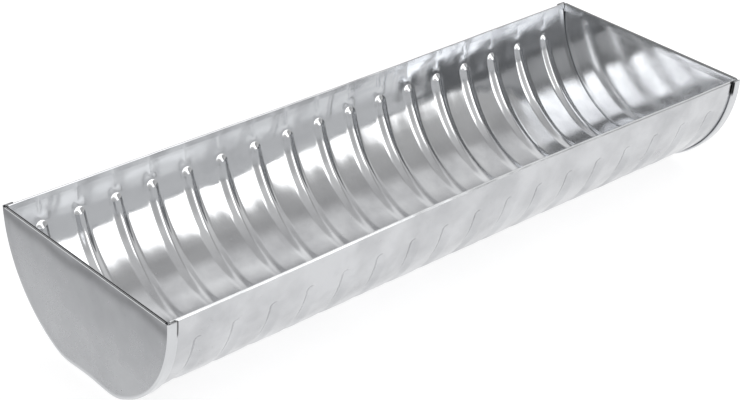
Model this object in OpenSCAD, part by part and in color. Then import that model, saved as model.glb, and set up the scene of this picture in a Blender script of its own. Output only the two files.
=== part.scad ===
// Half-round trough feeder: one ribbed sheet of galvanised steel, closed by two end caps that are
// locked to it by folded seams. Millimetres. X runs along the trough, Y across it and Z up. The origin
// is on the ground, under the middle of the trough.

/* [Trough] */
// Length over the outer faces of the end caps
trough_length = 500; // [300:10:750]
// Outer radius of the round wall
wall_radius = 85.5; // [75:0.1:110]
// How far the flat bottom is pressed up from the full round
flat_lift = 4.8; // [2:0.1:6]
// How far the straight strip under each rim lies inside the full round
flank_inset = 0.7; // [0.3:0.1:1]
// Lean of that strip, outward from upright
flank_lean = 6; // [4:0.5:8]
// Thickness of the sheet
sheet = 0.5; // [0.4:0.05:0.8]

/* [Ribs] */
// Distance from one pressed rib to the next
rib_pitch = 28.2; // [20:0.1:45]
// Width of a rib on the inside of the wall
rib_width = 8; // [6:0.5:10]
// Height of a rib above the inside of the wall
rib_height = 1.9; // [1:0.1:2.5]
// Plain wall left between a rib's rounded end and the rim
rib_margin = 19; // [12:0.5:30]

/* [Rims and seams] */
// Height of the hem that is folded inward along each long rim
rim_hem = 4; // [2:0.5:8]
// Height of the hem that is folded inward along each cap's straight edge
cap_hem = 5; // [3:0.5:8]
// Width of the seam round each end, along the trough
seam_width = 7.5; // [5:0.5:12]
// Play left between the folded layers of a seam
seam_play = 0.1; // [0.05:0.05:0.2]

/* [Hidden] */
$fn = 96;

// The round wall is centred at the rims' level. Under each rim it gives way to a straight strip, a shallow
// chord of the round. The strip is a choice: with ribs of this size, the wall then meshes cleanly.
layer = sheet + seam_play;
seam_stack = 3 * layer;
wall_depth = wall_radius - flat_lift;
rim_y = (wall_radius - flank_inset) / cos(flank_lean);
rim_z = wall_depth + seam_stack;
over_rim = 5;

// Stations along the trough, at its right end
cap_face = trough_length / 2;
cap_back = cap_face - sheet;
body_end = cap_back - seam_play;
seam_start = cap_face - seam_width;

// A rib is part of a round bar pressed into the sheet from outside, with slightly fuller round ends
rib_bar = (pow(rib_width / 2, 2) + pow(rib_height, 2)) / (2 * rib_height);
rib_centre = rib_bar - rib_height - sheet;
rib_track = wall_radius + rib_centre;
rib_end = rib_bar * 1.05;
rib_end_angle = 90 - (rib_margin + rib_width / 2) / wall_radius * 180 / PI;
ribs_each_side = floor((seam_start - rib_width) / rib_pitch);
rib_stations = [for (i = [-ribs_each_side : ribs_each_side]) i * rib_pitch];

// Draws a shape given in Y and Z, measured from the middle of the rims' level, along the trough
module along_trough(from, to)
    translate([from, 0, rim_z])
        rotate([90, 0, 90])
            linear_extrude(to - from)
                children();

// The trough's section as a solid block, offset outward from the wall's outer face. A block that cuts
// another open reaches above the rim.
module section_block(outset, from, to, rise = 0) {
    radius = wall_radius + outset;
    depth = wall_depth + outset;
    function flank_y(z) = (radius - flank_inset + z * sin(flank_lean)) / cos(flank_lean);
    along_trough(from, to)
        intersection() {
            circle(radius);
            polygon([
                [-flank_y(rise), rise],
                [flank_y(rise), rise],
                [flank_y(-depth), -depth],
                [-flank_y(-depth), -depth]
            ]);
        }
}

// One layer of sheet that follows the section
module wrapped_layer(inner, outer, from, to)
    difference() {
        section_block(outer, from, to);
        section_block(inner, from - over_rim, to + over_rim, over_rim);
    }

// The round bars that press the ribs, a little fuller where each rib ends
module rib_bars(radius, end_radius)
    for (x = rib_stations) {
        translate([x, 0, rim_z])
            rotate([0, 90, 0])
                rotate([0, 0, -rib_end_angle])
                    rotate_extrude(angle = 2 * rib_end_angle)
                        translate([rib_track, 0])
                            circle(radius);
        for (side = [-1, 1])
            translate([x, side * rib_track * sin(rib_end_angle), rim_z - rib_track * cos(rib_end_angle)])
                sphere(end_radius);
    }

// A long rim: the sheet is turned over inward and pressed flat
module rim_fold()
    along_trough(-body_end, body_end)
        translate([rim_y, 0])
            rotate(-flank_lean) {
                translate([-2 * sheet, -rim_hem]) square([1.5 * sheet, rim_hem]);
                intersection() {
                    translate([-sheet, 0]) circle(sheet);
                    translate([-2 * sheet, -sheet / 4]) square([2 * sheet, 2 * sheet]);
                }
            }

// The body's half of one seam: its end turned outward and back
module folded_end() {
    wrapped_layer(0, 2 * layer, body_end - sheet, body_end);
    wrapped_layer(2 * layer - sheet, 2 * layer, seam_start + layer, body_end - sheet);
}

module trough_body()
    color("gainsboro")
        difference() {
            union() {
                wrapped_layer(-sheet, 0, -body_end, body_end);
                for (end = [0, 1])
                    mirror([end, 0, 0]) folded_end();
                for (side = [0, 1])
                    mirror([0, side, 0]) rim_fold();
                intersection() {
                    rib_bars(rib_bar, rib_end);
                    section_block(-sheet / 2, -cap_face, cap_face);
                }
            }
            rib_bars(rib_bar - sheet, rib_end - sheet);
        }

// The cap's half of the seam: out over the body's folded end, round it and in under it
module hooked_edge() {
    wrapped_layer(seam_stack - sheet, seam_stack, seam_start, cap_back);
    wrapped_layer(seam_play, seam_stack - sheet, seam_start, seam_start + sheet);
    wrapped_layer(seam_play, layer, seam_start + sheet, body_end - layer);
}

// The hem along the cap's straight edge, between the two rims
module cap_edge_fold() {
    inset = 2 * sheet + seam_play;
    half_width = rim_y - inset / cos(flank_lean) - sheet;
    intersection() {
        section_block(-inset, cap_back - sheet, cap_back);
        translate([0, -wall_radius, rim_z - cap_hem]) cube([cap_face, 2 * wall_radius, cap_hem]);
    }
    translate([cap_back, half_width, rim_z])
        rotate([90, 0, 0])
            linear_extrude(2 * half_width)
                intersection() {
                    circle(sheet);
                    translate([-sheet, 0]) square([2 * sheet, sheet]);
                }
}

module end_cap()
    color("silver") {
        section_block(seam_stack, cap_back, cap_face);
        hooked_edge();
        cap_edge_fold();
    }

module left_end_cap()
    mirror([1, 0, 0]) end_cap();

module right_end_cap()
    end_cap();

trough_body();
left_end_cap();
right_end_cap();
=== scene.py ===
"""A half-round galvanised trough feeder: one ribbed, hemmed sheet and two end caps seamed to it.

X runs along the trough, Y across it (its front wall is at -Y) and Z up. Sizes are in metres.
"""

import logging
import math
from dataclasses import dataclass, field, replace
from enum import Enum

import bpy
import numpy as np
from mathutils import Matrix, Vector


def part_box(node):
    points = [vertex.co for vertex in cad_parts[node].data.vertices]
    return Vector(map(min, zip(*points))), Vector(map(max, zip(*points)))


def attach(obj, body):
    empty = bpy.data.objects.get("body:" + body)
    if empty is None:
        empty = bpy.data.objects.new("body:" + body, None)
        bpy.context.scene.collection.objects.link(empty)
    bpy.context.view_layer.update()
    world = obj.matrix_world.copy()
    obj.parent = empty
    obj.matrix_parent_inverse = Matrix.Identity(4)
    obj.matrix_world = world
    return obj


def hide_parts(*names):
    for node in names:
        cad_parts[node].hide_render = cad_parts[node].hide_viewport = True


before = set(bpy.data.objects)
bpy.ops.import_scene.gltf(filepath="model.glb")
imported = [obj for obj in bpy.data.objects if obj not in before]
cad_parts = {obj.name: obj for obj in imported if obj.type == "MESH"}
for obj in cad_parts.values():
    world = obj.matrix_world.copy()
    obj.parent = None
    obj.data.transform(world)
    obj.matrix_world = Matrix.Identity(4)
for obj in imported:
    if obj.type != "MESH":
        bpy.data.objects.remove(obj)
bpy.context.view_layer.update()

log = logging.getLogger("trough")

MM = 0.001


class End(Enum):
    """Which end of the trough a cap closes; the value is the sign of its X."""

    LEFT = -1
    RIGHT = 1


def smooth_step(value: np.ndarray, low: float, high: float) -> np.ndarray:
    """Rises from 0 at low to 1 at high along 3t^2 - 2t^3."""
    t = np.clip((value - low) / (high - low), 0.0, 1.0)
    return t * t * (3.0 - 2.0 * t)


def spaced(start: float, end: float, step: float) -> np.ndarray:
    """Even stations from start to end, both included, no further apart than step."""
    return np.linspace(start, end, max(2, int(math.ceil(abs(end - start) / step)) + 1))


@dataclass
class Skin:
    """A surface under construction: its points, its faces, and for each point its wear_and_shade dulling
    and its painted_shade darkening.
    """

    points: list[np.ndarray] = field(default_factory=list)
    faces: list[tuple[int, ...]] = field(default_factory=list)
    wear_and_shade: list[np.ndarray] = field(default_factory=list)
    painted_shade: list[np.ndarray] = field(default_factory=list)
    count: int = 0

    def add_tube(self, grid: np.ndarray, wear_and_shade: np.ndarray | float, painted_shade: np.ndarray | float = 0.0,
                 flip: bool = False) -> None:
        """Adds closed loops carried along a path, with a face over each end.

        The grid's first axis runs along the path and its second round the loop. Face (i, j) joins
        points (i, j), (i + 1, j), (i + 1, j + 1) and (i, j + 1), where j + 1 wraps round.

        Args:
            grid: the points, stations by loop points by 3.
            wear_and_shade: how dulled each point is, from 0 to 1, by real wear and by painted shade,
                broadcast over the grid's first two axes.
            painted_shade: how dark each point is painted for shade in slits, hems and under edges, in the
                same way.
            flip: whether the faces turn the other way.
        """
        rows, columns = grid.shape[:2]
        index = np.arange(rows * columns).reshape(rows, columns) + self.count
        ahead = np.roll(index, -1, axis=1)
        quads = np.stack([index[:-1], index[1:], ahead[1:], ahead[:-1]], axis=-1).reshape(-1, 4)
        ends = [tuple(index[0]), tuple(index[-1][::-1])]
        if flip:
            quads = quads[:, ::-1]
            ends = [end[::-1] for end in ends]
        self.points.append(grid.reshape(-1, 3))
        self.wear_and_shade.append(np.broadcast_to(wear_and_shade, (rows, columns)).reshape(-1))
        self.painted_shade.append(np.broadcast_to(painted_shade, (rows, columns)).reshape(-1))
        self.faces.extend(map(tuple, quads.tolist()))
        self.faces.extend(tuple(int(i) for i in end) for end in ends)
        self.count += rows * columns

    def to_object(self, name: str, sharp_angle: float = 40.0) -> bpy.types.Object:
        """Turns the skin into a smooth-shaded mesh object with wear_and_shade and painted_shade attributes.

        Args:
            name: the object's name.
            sharp_angle: the angle between faces, in degrees, above which an edge is sharp.

        Returns:
            The object, linked to the scene, at the origin.
        """
        mesh = bpy.data.meshes.new(name)
        mesh.from_pydata(np.concatenate(self.points).tolist(), [], self.faces)
        mesh.validate()
        for label, values in (("wear_and_shade", self.wear_and_shade), ("painted_shade", self.painted_shade)):
            mesh.attributes.new(label, "FLOAT", "POINT").data.foreach_set(
                "value", np.concatenate(values).astype(np.float32)
            )
        mesh.shade_smooth()
        mesh.set_sharp_from_angle(angle=math.radians(sharp_angle))
        piece = bpy.data.objects.new(name, mesh)
        bpy.context.scene.collection.objects.link(piece)
        return piece


@dataclass(frozen=True)
class Section:
    """The outline that the sheet follows across the trough: a half round pressed flat at the bottom.

    The distance along it, s, is 0 at the middle of the bottom, positive up the back wall and negative
    up the front. The outset is the distance outward from the wall's outer face. The middle of the flat
    stands flat_dish above its edges, and ease is the spread of the bell that rounds its corners.
    """

    wall_radius: float = 85.25 * MM
    flat_lift: float = 4.55 * MM
    ground_gap: float = 1.8 * MM
    ease: float = 4.5 * MM
    flat_dish: float = 1.1 * MM
    step: float = 0.25 * MM

    @property
    def rim_z(self) -> float:
        """Height of the rims' level, which is also the height of the round wall's centre."""
        return self.wall_radius - self.flat_lift + self.ground_gap

    def outline(self) -> tuple[np.ndarray, np.ndarray, np.ndarray]:
        """Points of the back half, with its corner eased.

        The flat and the arc are joined end to end, then each point is averaged with its neighbours
        under a bell curve, which rounds the corner. The bell is no wider than the way to the rim.

        Returns:
            The distance along the outline, and Y and Z there, from the middle of the bottom to the rim.
        """
        radius, depth = self.wall_radius, self.wall_radius - self.flat_lift
        flat_end = math.sqrt(radius**2 - depth**2)
        arc_from = math.asin(flat_end / radius)
        flat_y = spaced(0.0, flat_end, self.step)
        turn = spaced(arc_from, math.pi / 2, self.step / radius)
        y = np.concatenate([flat_y, radius * np.sin(turn[1:])])
        dish = self.flat_dish * np.cos(flat_y / flat_end * math.pi / 2) ** 2
        z = np.concatenate([dish - depth, -radius * np.cos(turn[1:])])
        s = np.concatenate([[0.0], np.cumsum(np.hypot(np.diff(y), np.diff(z)))])
        even = spaced(0.0, float(s[-1]), self.step)
        y, z = np.interp(even, s, y), np.interp(even, s, z)
        reach = int(3 * self.ease / self.step)
        bell = np.exp(-0.5 * (np.arange(-reach, reach + 1) * self.step / self.ease) ** 2)
        bell /= bell.sum()
        y_long = np.concatenate([-y[reach:0:-1], y, y[-2 : -reach - 2 : -1]])
        z_long = np.concatenate([z[reach:0:-1], z, -z[-2 : -reach - 2 : -1]])
        near_corner = np.exp(-(((even - flat_end) / (4.0 * self.ease)) ** 2))
        y = y + near_corner * (np.convolve(y_long, bell, "valid") - y)
        z = z + near_corner * (np.convolve(z_long, bell, "valid") - z)
        s = np.concatenate([[0.0], np.cumsum(np.hypot(np.diff(y), np.diff(z)))])
        return s, y, z

    def place(self, s: np.ndarray, outset: np.ndarray) -> tuple[np.ndarray, np.ndarray]:
        """Y and Z of points at a distance along the outline and an outset from it.

        Past the rim the outline goes on straight, in the direction that it has there.

        Args:
            s: signed distance along the outline.
            outset: distance outward from the wall's outer face.

        Returns:
            Y and Z, in the trough's own axes.
        """
        along, y, z = self.outline()
        tangent_y, tangent_z = np.gradient(y, along), np.gradient(z, along)
        size = np.hypot(tangent_y, tangent_z)
        tangent_y, tangent_z = tangent_y / size, tangent_z / size
        side, reach = np.sign(s), np.abs(s)
        past = np.maximum(reach - along[-1], 0.0)
        ty, tz = np.interp(reach, along, tangent_y), np.interp(reach, along, tangent_z)
        across = np.interp(reach, along, y) + past * ty + outset * tz
        height = np.interp(reach, along, z) + past * tz - outset * ty
        return np.where(side < 0, -across, across), height + self.rim_z

    @property
    def half_length(self) -> float:
        """Distance along the outline from the middle of the bottom to a rim."""
        return float(self.outline()[0][-1])


@dataclass(frozen=True)
class PressedRibs:
    """The cross ribs: round-ended channels pressed into the sheet from outside, proud on the inside.

    pucker_spread is a share of a rib's width, and crease_fade is measured down from the rim.
    """

    pitch: float = 28.2 * MM
    each_side: int = 8
    width: float = 11.5 * MM
    height: float = 1.9 * MM
    end_below_rim: float = 17.5 * MM
    flat_height: float = 0.45
    flat_reach: tuple[float, float] = (12.0 * MM, 95.0 * MM)
    pucker: float = 0.16 * MM
    pucker_spread: float = 0.30
    crease: float = 0.12 * MM
    crease_spread: float = 1.6 * MM
    crease_fade: tuple[float, float] = (0.8 * MM, 4.0 * MM)

    @property
    def stations(self) -> np.ndarray:
        """X of each rib."""
        return np.arange(-self.each_side, self.each_side + 1) * self.pitch

    def relief(self, x: np.ndarray, s: np.ndarray, half_length: float) -> np.ndarray:
        """How far the ribs push the sheet inward.

        Across a rib the push is height times cos^2 of a half turn over its width, and its ends are
        the same shape turned about the last point. It is lower over the flat bottom. Above each end
        the sheet stands out a little, in a shallow pucker. A narrow inward crease runs on from the
        rib's end and fades just under the rim.

        Args:
            x: place along the trough.
            s: distance along the section, broadcast against x.
            half_length: distance along the section from the bottom to a rim.

        Returns:
            The inward push at each point.
        """
        across = x - self.pitch * np.clip(np.round(x / self.pitch), -self.each_side, self.each_side)
        last = half_length - self.end_below_rim - self.width / 2
        beyond = np.maximum(np.abs(s) - last, 0.0)
        away = np.minimum(np.hypot(across, beyond) / (self.width / 2), 1.0)
        rib = self.height * np.cos(away * math.pi / 2) ** 2
        up_wall = smooth_step(np.abs(s), *self.flat_reach)
        rib = rib * (self.flat_height + (1.0 - self.flat_height) * up_wall)
        above = np.abs(s) - (last + 0.62 * self.width)
        pucker = self.pucker * np.exp(-((across / (self.pucker_spread * self.width)) ** 2))
        pucker = pucker * np.exp(-((above / (self.pucker_spread * self.width)) ** 2))
        crease = self.crease * np.exp(-np.abs(across) / self.crease_spread)
        crease = crease * smooth_step(above, -2.0 * MM, 6.0 * MM)
        crease = crease * smooth_step(half_length - np.abs(s), *self.crease_fade)
        return rib - pucker + crease


@dataclass(frozen=True)
class Handling:
    """Slight bends and dents in thin sheet.

    From soft_from to soft_to inside each end, the section changes to its slacker middle shape.
    """

    front_bow: float = 3.6 * MM
    soft_from: float = 4.0 * MM
    soft_to: float = 24.0 * MM
    back_bow: float = 1.6 * MM
    bow_centre: float = 20.0 * MM
    ripple: float = 0.11 * MM
    fine_ripple: float = 0.014 * MM
    waves: int = 26
    seed: int = 7

    def bow(self, x: np.ndarray, s: np.ndarray, half_trough: float, half_length: float) -> np.ndarray:
        """How far the walls lean in towards the middle of the trough's length.

        Along the trough the bow is a cos^2 hump times a half ellipse, so it is 0 at both ends. Round
        the wall it grows with the square of the distance from the bottom.

        Args:
            x: place along the trough.
            s: distance along the section, broadcast against x.
            half_trough: X of the wall's end.
            half_length: distance along the section from the bottom to a rim.

        Returns:
            The inward lean at each point.
        """
        along = np.clip((x - self.bow_centre) / (half_trough + self.bow_centre), -1.0, 1.0)
        hump = np.cos(along * math.pi / 2) ** 2 * (1.0 - (x / half_trough) ** 2).clip(0.0, 1.0) ** 0.5
        height = np.clip(np.abs(s) / half_length, 0.0, 1.05) ** 2
        return hump * height * np.where(s < 0, self.front_bow, self.back_bow)

    def dents(self, x: np.ndarray, s: np.ndarray) -> np.ndarray:
        """How far dents push the sheet inward: a sum of sine waves in random directions and phases.

        The long waves are 22 to 75 mm long and the fine ones 12 to 20 mm.

        Args:
            x: place along the trough.
            s: distance along the section, broadcast against x.

        Returns:
            The push at each point.
        """
        rng = np.random.default_rng(self.seed)
        total = np.zeros(np.broadcast(x, s).shape)
        for shortest, longest, height in ((22.0, 75.0, self.ripple), (12.0, 20.0, self.fine_ripple)):
            for _ in range(self.waves):
                length = rng.uniform(shortest, longest) * MM
                heading, phase = rng.uniform(0.0, math.pi), rng.uniform(0.0, 2.0 * math.pi)
                run = x * math.cos(heading) + s * math.sin(heading)
                size = height * 2.0 * length / ((shortest + longest) * MM * self.waves**0.5)
                total = total + size * np.sin(2.0 * math.pi * run / length + phase)
        return total


@dataclass(frozen=True)
class Galvanised:
    """A zinc-coated sheet finish: bright metal with clouded gloss, rolling lines and handling marks.

    The scales are those of its noise. dulling_tone and worn_rough are what full wear_and_shade (real wear
    and painted shade) adds to the dulling and to the roughness, and shade_rough is what full painted_shade
    adds to the roughness.
    """

    name: str
    colour: tuple[float, float, float]
    dull_colour: tuple[float, float, float]
    gloss: float
    clouding: float
    mottle: float
    peel: float
    cloud_scale: float = 42.0
    streak_scale: float = 60.0
    speck_scale: float = 420.0
    peel_scale: float = 110.0
    grain_scale: float = 900.0
    grain_share: float = 0.05
    dulling_tone: float = 0.85
    worn_rough: float = 0.16
    shade_rough: float = 0.5
    # painted_shade_colour is the near black painted where shade falls in slits, hem grooves and under the
    # caps' top edges.
    painted_shade_colour: tuple[float, float, float] = (0.012, 0.012, 0.013)

    def material(self) -> bpy.types.Material:
        """Builds the finish as nodes that read Object coordinates and the wear_and_shade and painted_shade
        attributes.

        Returns:
            The material.
        """
        made = bpy.data.materials.new(self.name)
        made.use_nodes = True
        nodes, links = made.node_tree.nodes, made.node_tree.links
        nodes.clear()
        output = nodes.new("ShaderNodeOutputMaterial")
        metal = nodes.new("ShaderNodeBsdfPrincipled")
        metal.inputs["Metallic"].default_value = 1.0
        links.new(metal.outputs["BSDF"], output.inputs["Surface"])
        place = nodes.new("ShaderNodeTexCoord").outputs["Object"]
        dulling = nodes.new("ShaderNodeAttribute")
        dulling.attribute_name = "wear_and_shade"
        painted_shade_attr = nodes.new("ShaderNodeAttribute")
        painted_shade_attr.attribute_name = "painted_shade"

        def noise(scale: float, detail: float, stretch: tuple[float, float, float]) -> bpy.types.NodeSocket:
            """Noise over the piece, stretched along its axes."""
            turn = nodes.new("ShaderNodeMapping")
            turn.inputs["Scale"].default_value = stretch
            links.new(place, turn.inputs["Vector"])
            cloud = nodes.new("ShaderNodeTexNoise")
            cloud.inputs["Scale"].default_value = scale
            cloud.inputs["Detail"].default_value = detail
            links.new(turn.outputs["Vector"], cloud.inputs["Vector"])
            return cloud.outputs["Fac"]

        def ranged(value: bpy.types.NodeSocket, low: float, high: float, to_low: float,
                   to_high: float) -> bpy.types.NodeSocket:
            """Maps low..high to to_low..to_high."""
            node = nodes.new("ShaderNodeMapRange")
            node.inputs["From Min"].default_value = low
            node.inputs["From Max"].default_value = high
            node.inputs["To Min"].default_value = to_low
            node.inputs["To Max"].default_value = to_high
            links.new(value, node.inputs["Value"])
            return node.outputs["Result"]

        def added(first: bpy.types.NodeSocket, second: bpy.types.NodeSocket) -> bpy.types.NodeSocket:
            """The sum of two values."""
            node = nodes.new("ShaderNodeMath")
            links.new(first, node.inputs[0])
            links.new(second, node.inputs[1])
            return node.outputs["Value"]

        clouds = noise(self.cloud_scale, 3.0, (1.0, 1.0, 1.0))
        streaks = noise(self.streak_scale, 3.0, (0.12, 3.0, 3.0))
        specks = noise(self.speck_scale, 2.0, (1.0, 1.0, 1.0))

        tone = nodes.new("ShaderNodeMix")
        tone.data_type = "RGBA"
        tone.clamp_factor = True
        tone.inputs["A"].default_value = (*self.colour, 1.0)
        tone.inputs["B"].default_value = (*self.dull_colour, 1.0)
        dulled = added(ranged(clouds, 0.36, 0.68, -self.mottle, self.mottle),
                       ranged(specks, 0.72, 0.80, 0.0, 0.15))
        # Real wear at edges and folds, and painted shade on the outer faces, both dull the colour here
        # through the wear_and_shade attribute.
        dulled = added(dulled, ranged(dulling.outputs["Fac"], 0.0, 1.0, 0.0, self.dulling_tone))
        links.new(dulled, tone.inputs["Factor"])
        # Painted shade: the painted_shade attribute mixes the colour towards near black in seam slits, hem
        # grooves and a band under the caps' top edges.
        shade_mix = nodes.new("ShaderNodeMix")
        shade_mix.data_type = "RGBA"
        shade_mix.inputs["B"].default_value = (*self.painted_shade_colour, 1.0)
        links.new(painted_shade_attr.outputs["Fac"], shade_mix.inputs["Factor"])
        links.new(tone.outputs["Result"], shade_mix.inputs["A"])
        links.new(shade_mix.outputs["Result"], metal.inputs["Base Color"])

        rough = added(ranged(clouds, 0.35, 0.7, self.gloss, self.gloss + self.clouding),
                      ranged(streaks, 0.4, 0.7, 0.0, self.clouding * 0.6))
        rough = added(rough, ranged(dulling.outputs["Fac"], 0.0, 1.0, 0.0, self.worn_rough))
        rough = added(rough, ranged(painted_shade_attr.outputs["Fac"], 0.0, 1.0, 0.0, self.shade_rough))
        links.new(added(rough, ranged(specks, 0.70, 0.80, 0.0, 0.1)), metal.inputs["Roughness"])

        peel = nodes.new("ShaderNodeBump")
        peel.inputs["Strength"].default_value = 1.0
        peel.inputs["Distance"].default_value = self.peel
        links.new(noise(self.peel_scale, 2.0, (0.7, 1.0, 1.0)), peel.inputs["Height"])
        grain = nodes.new("ShaderNodeBump")
        grain.inputs["Strength"].default_value = 1.0
        grain.inputs["Distance"].default_value = self.peel * self.grain_share
        links.new(noise(self.grain_scale, 2.0, (0.25, 2.0, 2.0)), grain.inputs["Height"])
        links.new(peel.outputs["Normal"], grain.inputs["Normal"])
        links.new(grain.outputs["Normal"], metal.inputs["Normal"])
        return made


@dataclass
class TroughBody:
    """The ribbed sheet: its wall with two hemmed rims, and the fold at each end."""

    section: Section
    ribs: PressedRibs
    handling: Handling
    sheet: float = 0.5 * MM
    rim_bead: float = 0.5 * MM
    rim_half_width: float = 0.8 * MM
    rim_slope: float = 1.1 * MM
    rim_lean: float = 26.0
    rim_hem: float = 4.0 * MM
    play: float = 0.1 * MM
    seam_width: float = 7.5 * MM
    fold_gap: float = 2.2 * MM
    slit: float = 1.2 * MM
    slit_length: float = 11.0 * MM
    # Dulling of the outer face: partly a satin finish, partly painted shade for the dimmer reflections it
    # shows.
    outside_satin_and_shade: float = 0.8
    bottom_wear: float = 0.8
    front_wear: float = 0.1
    hem_wear: float = 0.15
    fold_wear: float = 0.35
    front_to_bottom: tuple[float, float] = (-40.0 * MM, -10.0 * MM)
    wear_fade: tuple[float, float] = (45.0 * MM, 85.0 * MM)
    # Painted shade: how dark the front hem's inner strip is painted, for the shade under its fold.
    hem_painted_shade: float = 0.75
    sag: float = 1.5 * MM
    middle_ease: float = 9.0 * MM
    calm_length: float = 30.0 * MM

    def __post_init__(self) -> None:
        """Takes the trough's length from the CAD part, and makes the slacker section of its middle."""
        self.middle = replace(self.section, ease=self.middle_ease, flat_dish=0.0,
                              flat_lift=self.section.flat_lift - self.sag,
                              ground_gap=self.section.ground_gap - self.sag)
        low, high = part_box("trough_body")
        self.body_end = float(high.x - low.x) / 2
        self.fold_radius = (3 * self.sheet + 2 * self.play + 0.5 * self.sheet - 0.05 * MM) / 2
        self.wall_end = self.body_end - self.fold_radius

    def stations(self) -> np.ndarray:
        """X along the wall: close together over each rib, further apart between ribs."""
        half = self.ribs.width / 2
        side = np.array([0.04, 0.16, 0.30, 0.44, 0.58, 0.74, 0.92, 1.1])
        near = half * np.concatenate([-side[::-1], side])
        over = (self.ribs.stations[:, None] + near[None, :]).ravel()
        gap = self.ribs.stations[:-1, None] + self.ribs.pitch * np.array([0.38, 0.5, 0.62])[None, :]
        outer = np.linspace(over[-1], self.wall_end, 8)[1:]
        return np.sort(np.concatenate([-outer, over, gap.ravel(), outer]))

    def around(self, reach: float) -> np.ndarray:
        """Distances along the section up to reach each way, close together at the ribs' ends."""
        last = self.section.half_length - self.ribs.end_below_rim - self.ribs.width / 2
        tip = last + 1.5 * self.ribs.width
        half = np.concatenate([
            spaced(0.0, last - 3.0 * MM, 4.0 * MM),
            spaced(last - 3.0 * MM, tip, 0.95 * MM)[1:],
            spaced(tip, reach, 2.5 * MM)[1:],
        ])
        return np.concatenate([-half[:0:-1], half])

    def loop(self) -> tuple[np.ndarray, np.ndarray, np.ndarray, np.ndarray]:
        """One closed loop round the sheet's cut edge, with a hem at each rim.

        It runs over the outer face from the front rim to the back. There it leans in over rim_slope,
        turns over a bead rim_bead high to an outset of -2 rim_half_width, and goes down the hem's
        inner face. It comes back along the wall's inner face and over the front rim in the same way.

        Returns:
            Distance along the section, outset, wear_and_shade and painted_shade at each point of the loop;
            painted_shade marks the front hem's painted shade.
        """
        rim = self.section.half_length
        lean = math.radians(self.rim_lean)
        bead = np.linspace(lean, math.pi, 11)
        low = rim - self.rim_slope
        outer = self.around(low)
        rise = np.array([0.08, 0.5, 0.92])
        inner = self.around(rim - self.rim_hem)[::-1]
        inward = self.rim_slope * math.tan(lean)
        half_width = self.rim_half_width - inward / 2
        bead_rise = (np.sin(bead[:-1]) - math.sin(lean)) / (1.0 - math.sin(lean))
        turn_s = np.concatenate([low + self.rim_slope * rise, rim + self.rim_bead * bead_rise])
        turn_out = np.concatenate([-inward * rise, -inward - half_width * (1.0 - np.cos(bead[:-1] - lean))])
        turn_out[len(rise):] = np.maximum(turn_out[len(rise):], -2.0 * self.rim_half_width)
        hem_s = np.array([rim, rim - 0.5 * self.rim_hem, rim - self.rim_hem + 0.2 * MM, rim - self.rim_hem])
        hem_out = np.array([-2.0, -2.0, -2.0, -1.7]) * self.rim_half_width
        back_s, back_out = np.concatenate([turn_s, hem_s]), np.concatenate([turn_out, hem_out])
        s = np.concatenate([outer, back_s, inner, -back_s[::-1]])
        inner_out = np.full_like(inner, -self.sheet)
        out = np.concatenate([np.zeros_like(outer), back_out, inner_out, back_out[::-1]])
        toward_back = smooth_step(s, *self.front_to_bottom)
        dulling = self.front_wear + (self.bottom_wear - self.front_wear) * toward_back
        inside = dulling * (1.0 - smooth_step(np.abs(s), *self.wear_fade))
        # Painted shade with a satin dulling: the outer face is darkened by outside_satin_and_shade.
        on_wall = np.where(out > -0.01 * MM, self.outside_satin_and_shade, inside)
        wear_and_shade = np.where(out < -1.01 * self.sheet, self.hem_wear, on_wall)
        # Painted shade: the front hem's inner strip is painted dark, where its fold casts shade.
        at_front_hem = (s < 0.01 * MM - rim) & (out < -1.5 * self.rim_half_width)
        painted_shade = np.where(at_front_hem, self.hem_painted_shade, 0.0)
        return s, out, wear_and_shade, painted_shade

    def placed(self, x: np.ndarray, s: np.ndarray, out: np.ndarray) -> np.ndarray:
        """Points of the sheet: the section, pushed in by the ribs and dents, and leaned in by the bow.

        Args:
            x: place along the trough.
            s: distance along the section, broadcast against x.
            out: outset of each point before the push, broadcast in the same way.

        Returns:
            The points, with a last axis of 3.
        """
        rim = self.section.half_length
        calm = smooth_step(self.wall_end - np.abs(x), 0.0, self.calm_length)
        push = self.ribs.relief(x, s, rim) + self.handling.dents(x, s) * calm
        y, z = self.section.place(s, out - push)
        share = smooth_step(self.wall_end - np.abs(x), self.handling.soft_from, self.handling.soft_to)
        soft_y, soft_z = self.middle.place(s * self.middle.half_length / rim, out - push)
        y, z = y + share * (soft_y - y), z + share * (soft_z - z)
        y = y - np.sign(s) * self.handling.bow(x, s, self.wall_end, rim)
        return np.stack(np.broadcast_arrays(x, y, z), axis=-1)

    def recess(self, s: np.ndarray) -> np.ndarray:
        """How far the body's end stands back from the cap near each rim, where the seam gapes."""
        below = np.maximum(self.section.half_length - np.abs(s), 0.0)
        return self.slit * np.exp(-((below / self.slit_length) ** 2))

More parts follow.
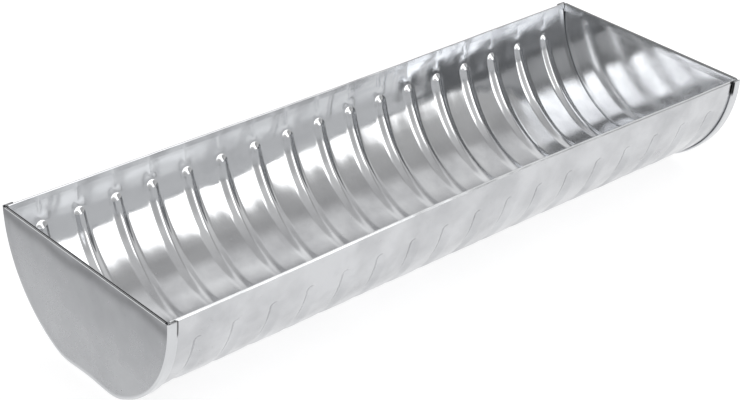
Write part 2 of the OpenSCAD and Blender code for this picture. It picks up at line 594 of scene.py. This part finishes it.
    def add_fold(self, skin: Skin, end: End) -> None:
        """Adds the fold at one end: the sheet turns outward through a half circle and runs back.

        The profile is a sheet's two faces round a half circle, carried along the whole section.
        """
        turn = np.linspace(-math.pi / 2, math.pi / 2, 11)
        inner_radius = self.fold_radius - self.sheet
        back = self.body_end - self.seam_width + self.fold_gap
        centre = self.fold_radius - self.sheet
        outer_x = np.concatenate([self.wall_end + self.fold_radius * np.cos(turn), [back]])
        outer_out = np.concatenate([centre + self.fold_radius * np.sin(turn), [centre + self.fold_radius]])
        inner_x = np.concatenate([self.wall_end + inner_radius * np.cos(turn), [back]])[::-1]
        inner_out = np.concatenate([centre + inner_radius * np.sin(turn), [centre + inner_radius]])[::-1]
        profile_x = np.concatenate([outer_x, inner_x])
        profile_out = np.concatenate([outer_out, inner_out])
        s = self.around(self.section.half_length)
        y, z = self.section.place(s[:, None], profile_out[None, :])
        x = np.broadcast_to(profile_x[None, :], y.shape) - self.recess(s)[:, None]
        skin.add_tube(np.stack([x * end.value, y, z], axis=-1), self.fold_wear, 0.0, end is End.RIGHT)

    def build(self) -> bpy.types.Object:
        """Makes the body's mesh.

        Returns:
            The finished piece, not yet dressed.
        """
        skin = Skin()
        s, out, wear_and_shade, painted_shade = self.loop()
        x = self.stations()
        grid = self.placed(x[:, None], s[None, :], out[None, :])
        near_end = smooth_step(np.abs(grid[..., 0]), self.wall_end - 4.0 * MM, self.wall_end)
        grid[..., 0] -= np.sign(grid[..., 0]) * near_end * self.recess(s)[None, :]
        skin.add_tube(grid, wear_and_shade[None, :], painted_shade[None, :])
        for end in End:
            self.add_fold(skin, end)
        return skin.to_object("ribbed_trough_sheet")


@dataclass
class EndCap:
    """A D-shaped end plate whose round edge hooks over the body's fold and whose top edge is hemmed."""

    end: End
    section: Section
    sheet: float = 0.5 * MM
    play: float = 0.1 * MM
    seam_width: float = 7.5 * MM
    bend: float = 1.1 * MM
    hem_bead: float = 1.15 * MM
    hem_groove: float = 0.5 * MM
    hem_height: float = 5.0 * MM
    crimp: float = 0.12 * MM
    bulge: float = 0.35 * MM
    # Dulling of the plate's outer face: partly a satin finish, partly painted shade for its darker
    # reflections.
    outside_satin_and_shade: float = 1.0
    skirt_wear: float = 0.3
    # Painted shade: how dark a ragged band under the top edge of the outer face is painted; top_shade_rates
    # set its raggedness.
    top_shade_depth: float = 0.32
    # Painted shade: how much lighter the outer face is painted at the bottom than at the top.
    low_fade: float = 0.26
    tuck_gap: float = 2.4 * MM
    crimp_waves: tuple[float, float, float] = (23 * MM, 37 * MM, 11 * MM)
    swell_rate: float = 31.0
    swell_stop: tuple[float, float] = (0.93, 0.985)
    swell_calm: float = 14.0 * MM
    top_narrowing: float = 0.999
    top_shade_rates: tuple[float, float] = (90.0, 37.0)
    seed: int = 11

    def __post_init__(self) -> None:
        """Takes the cap's face and top from the CAD part."""
        low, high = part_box("right_end_cap")
        self.face = float(high.x)
        self.top = float(high.z)
        self.stack = 3 * (self.sheet + self.play)
        self.hook_radius = (self.stack - self.play) / 2

    def around(self) -> np.ndarray:
        """Distances along the section from the front rim to the back."""
        rim = self.section.half_length
        turn = rim - 16.0 * MM
        half = np.concatenate([spaced(0.0, turn, 1.8 * MM), spaced(turn, rim, 1.0 * MM)[1:]])
        return np.concatenate([-half[:0:-1], half])

    def lift(self, s: np.ndarray) -> np.ndarray:
        """Change in the outset of the hook's free edge: a slight, uneven crimp inward.

        The crimp is a sum of three sine waves, and it dies away at the rims.

        Args:
            s: distances along the section.

        Returns:
            The change at each distance, never above 0.
        """
        rng = np.random.default_rng(self.seed + self.end.value)
        phase = rng.uniform(0.0, 2.0 * math.pi, 3)
        below = self.section.half_length - np.abs(s)
        wave = sum(np.sin(2.0 * math.pi * s / length + p) for length, p in zip(self.crimp_waves, phase))
        return self.crimp * (wave / 6.0 - 0.5) * smooth_step(below, 0.0, 8.0 * MM)

    def hook(self) -> tuple[np.ndarray, np.ndarray, np.ndarray]:
        """The round edge's profile, as a closed loop of the sheet's two faces.

        Outer face: a quarter circle off the plate, the skirt, a half circle and the tuck under it.
        Inner face: the same, one sheet thickness inside, going back.

        Returns:
            X, outset, and the share of the free edge's lift that each point takes.
        """
        quarter, half = np.linspace(0.0, math.pi / 2, 7), np.linspace(0.0, math.pi, 9)
        start = self.face - self.seam_width
        tuck_end = self.face - self.tuck_gap
        under = self.stack - 2 * self.hook_radius

        def face_line(depth: float) -> tuple[np.ndarray, np.ndarray]:
            """One face of the sheet, at a depth inside the outer face."""
            bend, turn = self.bend - depth, self.hook_radius - depth
            skirt = np.linspace(self.face - self.bend, start + self.hook_radius, 7)[1:-1]
            x = np.concatenate([self.face - self.bend + bend * np.cos(quarter), skirt,
                                start + self.hook_radius - turn * np.sin(half), [tuck_end]])
            out = np.concatenate([self.stack - self.bend + bend * np.sin(quarter),
                                  np.full_like(skirt, self.stack - depth),
                                  self.stack - self.hook_radius + turn * np.cos(half), [under + depth]])
            return x, out

        outer_x, outer_out = face_line(0.0)
        inner_x, inner_out = face_line(self.sheet)
        x, out = np.concatenate([outer_x, inner_x[::-1]]), np.concatenate([outer_out, inner_out[::-1]])
        share = smooth_step(self.face - x, self.bend, self.seam_width)
        return x, out, share

    def plate_points(self, s: np.ndarray, across: np.ndarray, x: float) -> np.ndarray:
        """One face of the plate: straight lines from the top edge down to the start of the bend.

        Args:
            s: distances along the section.
            across: shares of the way from the top edge to the bend.
            x: where the face is, before it bows slightly inward.

        Returns:
            The points, s by across by 3.
        """
        edge_y, edge_z = self.section.place(s, np.full_like(s, self.stack - self.bend))
        top_z = self.top - self.hem_bead
        y = edge_y[:, None] * (1.0 - across) * self.top_narrowing + edge_y[:, None] * across
        z = top_z * (1.0 - across) + np.minimum(edge_z, top_z)[:, None] * across
        radius = np.hypot(y, z - self.section.rim_z) / self.section.wall_radius
        uneven = 0.85 + 0.15 * np.sin(self.swell_rate * y + 2.0)
        swell = self.bulge * np.clip(radius, 0.0, 1.0) ** 2 * uneven
        inset = swell * (1.0 - smooth_step(radius, *self.swell_stop))
        inset = inset * smooth_step(self.top - z, 0.0, self.swell_calm)
        return np.stack([np.full_like(y, x) - inset, y, z], axis=-1)

    def build(self) -> bpy.types.Object:
        """Makes the cap's mesh: the plate and its hooked edge in one skin, and the hem along the top.

        Returns:
            The finished piece, not yet dressed.
        """
        skin = Skin()
        flip = self.end is End.RIGHT
        sign = np.array([self.end.value, 1.0, 1.0])
        s = self.around()
        hook_x, hook_out, share = self.hook()
        y, z = self.section.place(s[:, None], hook_out[None, :] + self.lift(s)[:, None] * share[None, :])
        hook = np.stack([np.broadcast_to(hook_x, y.shape), y, z], axis=-1)
        across = np.linspace(0.0, 1.0, 33)[:-1]
        outer = self.plate_points(s, across, self.face)
        inner = self.plate_points(s, across[::-1], self.face - self.sheet)
        grid = np.concatenate([outer, hook, inner], axis=1)
        # The plate's outer face takes outside_satin_and_shade: a satin dulling and painted shade.
        wear_and_shade = np.concatenate([
            np.full(len(across), self.outside_satin_and_shade),
            np.full(len(hook_x), self.skirt_wear),
            np.zeros(len(across)),
        ])
        edge_x, below = np.abs(grid[..., 0]), self.section.half_length - np.abs(s)[:, None]
        # Painted shade: a dark line painted at the hook's free edge near each rim, where the seam gapes.
        slit = np.exp(-(((edge_x - (self.face - self.seam_width + 0.5 * MM)) / (0.8 * MM)) ** 4))
        slit = slit * smooth_step(-below, -12.0 * MM, -8.0 * MM)
        # Painted shade: a ragged dark band painted under the top edge of the outer face.
        drop = self.top - grid[..., 2]
        fast, slow = self.top_shade_rates
        ragged = 5.0 * MM + 2.0 * MM * np.sin(fast * grid[..., 1]) * np.sin(slow * grid[..., 1] + 1.0)
        top_shade_band = self.top_shade_depth * np.exp(-(((drop - ragged) / (5.0 * MM)) ** 2)) * (wear_and_shade[None, :] > 0.5)
        # Painted shade: the outer face's dulling thins out downwards, so it is painted darker near the top
        # than lower down.
        fade = 1.0 - self.low_fade * smooth_step(drop, 5.0 * MM, 70.0 * MM)
        skin.add_tube(grid * sign, wear_and_shade[None, :] * fade, np.maximum(slit, top_shade_band), flip)
        self.add_hem(skin, sign, flip)
        name = "left_end_plate" if self.end is End.LEFT else "right_end_plate"
        return skin.to_object(name)

    def add_hem(self, skin: Skin, sign: np.ndarray, flip: bool) -> None:
        """Adds the hem: a half-round bead over the plate's top edge, and a strip down the inside."""
        turn = np.linspace(0.0, math.pi, 15)
        bead_z = self.top - self.hem_bead
        middle = self.face - self.hem_bead
        bead_x = middle + self.hem_bead * np.cos(turn)
        groove = np.maximum(1.0 - np.abs(bead_x - middle) / self.hem_groove, 0.0)
        foot = bead_z - self.hem_height
        inner_face = self.face - self.sheet
        x = np.concatenate([bead_x, [self.face - 2 * self.hem_bead] * 3,
                            [self.face - 1.8 * self.hem_bead, inner_face, inner_face]])
        z = np.concatenate([bead_z + self.hem_bead * np.sin(turn) - groove * self.hem_groove,
                            [bead_z - 0.5 * self.hem_height, foot + 0.3 * MM, foot + 0.1 * MM],
                            [foot, foot, bead_z]])
        # Painted shade: the groove along the bead's top is painted dark, for the shade in the hem's slit.
        painted_shade = np.concatenate([groove > 0.2, np.zeros(6)])
        half = self.section.wall_radius - 1.5 * MM
        y = spaced(-half, half, 3.0 * MM)
        grid = np.stack(np.broadcast_arrays(x[None, :], y[:, None], z[None, :]), axis=-1)
        skin.add_tube(grid * sign, 0.2, painted_shade[None, :], flip)


@dataclass(frozen=True)
class Card:
    """A soft bright or dark card in the studio, seen in a range of headings and heights, in degrees.

    Heading 0 looks along +Y and heading 90 along +X.
    """

    heading: tuple[float, float]
    height: tuple[float, float]
    light: float
    soft: float = 5.0


@dataclass
class Studio:
    """The pale floor, the soft surrounding light and the camera."""

    room_light: float = 0.80
    floor_colour: tuple[float, float, float] = (0.45, 0.45, 0.452)
    floor_glow: float = 0.74
    floor_reach: float = 5.0
    floor_flat: float = 3.5
    floor_rise: float = 0.02
    cards: tuple[Card, ...] = (
        Card((-30.0, 112.0), (-12.0, 42.0), 0.84, 7.0),
        Card((20.0, 112.0), (44.0, 70.0), 1.15, 5.0),
        Card((20.0, 79.0), (55.0, 76.0), 1.45, 2.0),
        Card((112.0, 140.0), (4.0, 62.0), 0.55, 5.0),
        Card((141.0, 176.0), (10.0, 45.0), 2.4, 2.0),
        Card((126.0, 178.0), (-12.0, 8.0), 0.85, 4.0),
        Card((-140.0, -28.0), (-6.0, 64.0), 0.26, 5.0),
        Card((-82.0, -40.0), (51.0, 72.0), 1.5, 2.0),
        Card((-128.0, -78.0), (31.0, 56.0), 3.2, 2.0),
        Card((-170.0, -130.0), (-6.0, 29.0), 0.6, 5.0),
    )
    camera_place: Vector = field(default_factory=lambda: Vector((-0.76795, -0.8304, 0.67946)))
    camera_heading: float = -41.925
    camera_height: float = 29.683
    camera_roll: float = 1.484
    lens: float = 93.522

    def add_floor(self) -> None:
        """Adds a wide pale floor, curved up very slightly far away so that it has no hard end."""
        reach = np.linspace(-self.floor_reach, self.floor_reach, 41)
        x, y = np.meshgrid(reach, reach, indexing="ij")
        far = np.maximum(np.hypot(x, y) - self.floor_flat, 0.0)
        points = np.stack([x, y, -0.2 * MM + self.floor_rise * far**2], axis=-1).reshape(-1, 3)
        index = np.arange(points.shape[0]).reshape(x.shape)
        quads = np.stack([index[:-1, :-1], index[1:, :-1], index[1:, 1:], index[:-1, 1:]], axis=-1)
        mesh = bpy.data.meshes.new("floor")
        mesh.from_pydata(points.tolist(), [], quads.reshape(-1, 4).tolist())
        mesh.shade_smooth()
        floor = bpy.data.objects.new("floor", mesh)
        bpy.context.scene.collection.objects.link(floor)
        paint = bpy.data.materials.new("pale_floor")
        paint.use_nodes = True
        coat = paint.node_tree.nodes["Principled BSDF"]
        coat.inputs["Base Color"].default_value = (*self.floor_colour, 1.0)
        coat.inputs["Roughness"].default_value = 0.9
        coat.inputs["Specular IOR Level"].default_value = 0.1
        coat.inputs["Emission Color"].default_value = (1.0, 1.0, 1.0, 1.0)
        coat.inputs["Emission Strength"].default_value = self.floor_glow
        mesh.materials.append(paint)

    def add_light(self) -> None:
        """Lights the scene with an even room and its soft cards, drawn by direction in the world."""
        world = bpy.data.worlds.new("studio")
        bpy.context.scene.world = world
        world.use_nodes = True
        nodes, links = world.node_tree.nodes, world.node_tree.links
        nodes.clear()
        output = nodes.new("ShaderNodeOutputWorld")
        glow = nodes.new("ShaderNodeBackground")
        links.new(glow.outputs["Background"], output.inputs["Surface"])
        split = nodes.new("ShaderNodeSeparateXYZ")
        links.new(nodes.new("ShaderNodeTexCoord").outputs["Generated"], split.inputs["Vector"])

        def maths(operation: str, *values: bpy.types.NodeSocket | float) -> bpy.types.NodeSocket:
            """A maths node over sockets and plain numbers."""
            node = nodes.new("ShaderNodeMath")
            node.operation = operation
            for slot, value in zip(node.inputs, values):
                if isinstance(value, (int, float)):
                    slot.default_value = value
                else:
                    links.new(value, slot)
            return node.outputs["Value"]

        def rise(value: bpy.types.NodeSocket, low: float, high: float) -> bpy.types.NodeSocket:
            """A smooth rise from 0 at low to 1 at high."""
            node = nodes.new("ShaderNodeMapRange")
            node.interpolation_type = "SMOOTHSTEP"
            node.inputs["From Min"].default_value = low
            node.inputs["From Max"].default_value = high
            links.new(value, node.inputs["Value"])
            return node.outputs["Result"]

        heading = maths("DEGREES", maths("ARCTAN2", split.outputs["X"], split.outputs["Y"]))
        height = maths("DEGREES", maths("ARCSINE", split.outputs["Z"]))

        def within(value: bpy.types.NodeSocket, span: tuple[float, float],
                   soft: float) -> bpy.types.NodeSocket:
            """1 inside a span of angles, falling to 0 over soft degrees outside it."""
            up = rise(value, span[0] - soft, span[0] + soft)
            down = maths("SUBTRACT", 1.0, rise(value, span[1] - soft, span[1] + soft))
            return maths("MULTIPLY", up, down)

        light: bpy.types.NodeSocket | float = self.room_light
        for card in self.cards:
            share = maths("MULTIPLY", within(height, card.height, card.soft),
                          within(heading, card.heading, card.soft))
            light = maths("ADD", maths("MULTIPLY", light, maths("SUBTRACT", 1.0, share)),
                          maths("MULTIPLY", share, card.light))
        links.new(light, glow.inputs["Strength"])

    def add_camera(self) -> None:
        """Adds the camera at its place, looking down the trough's length from the front left."""
        turn, drop = math.radians(self.camera_heading), math.radians(self.camera_height)
        roll = math.radians(self.camera_roll)
        ahead = Vector((-math.sin(turn) * math.cos(drop), math.cos(turn) * math.cos(drop), -math.sin(drop)))
        level = Vector((math.cos(turn), math.sin(turn), 0.0))
        upright = level.cross(ahead)
        right = math.cos(roll) * level + math.sin(roll) * upright
        up = -math.sin(roll) * level + math.cos(roll) * upright
        data = bpy.data.cameras.new("camera")
        data.lens = self.lens
        data.sensor_width = 36.0
        data.clip_start = 0.01
        camera = bpy.data.objects.new("camera", data)
        pose = Matrix((right, up, -ahead)).transposed().to_4x4()
        pose.translation = self.camera_place
        camera.matrix_world = pose
        bpy.context.scene.collection.objects.link(camera)
        bpy.context.scene.camera = camera


def dress(piece: bpy.types.Object, finish: bpy.types.Material, node: str) -> None:
    """Gives a piece its material and puts it in a CAD node's place.

    Args:
        piece: the finished piece.
        finish: its material.
        node: the CAD node that it stands for.
    """
    piece.data.materials.append(finish)
    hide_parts(node)
    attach(piece, "root")
    log.info("%s: %d points, %d faces", piece.name, len(piece.data.vertices), len(piece.data.polygons))


def main() -> None:
    """Builds the studio, the body and its two caps."""
    logging.basicConfig(level=logging.INFO, format="%(name)s: %(message)s")
    studio = Studio()
    studio.add_floor()
    studio.add_light()
    studio.add_camera()
    bpy.context.scene.view_settings.view_transform = "Standard"
    section = Section()
    body_finish = Galvanised("bright_galvanised_sheet", (0.79, 0.80, 0.815), (0.44, 0.445, 0.46),
                             0.06, 0.06, 0.16, 0.03 * MM).material()
    cap_finish = Galvanised("satin_galvanised_sheet", (0.72, 0.73, 0.745), (0.25, 0.255, 0.268),
                            0.10, 0.07, 0.03, 0.03 * MM).material()
    body = TroughBody(section, PressedRibs(), Handling()).build()
    dress(body, body_finish, "trough_body")
    for end, node in ((End.LEFT, "left_end_cap"), (End.RIGHT, "right_end_cap")):
        dress(EndCap(end, section).build(), cap_finish, node)


if __name__ == "__main__":
    main()
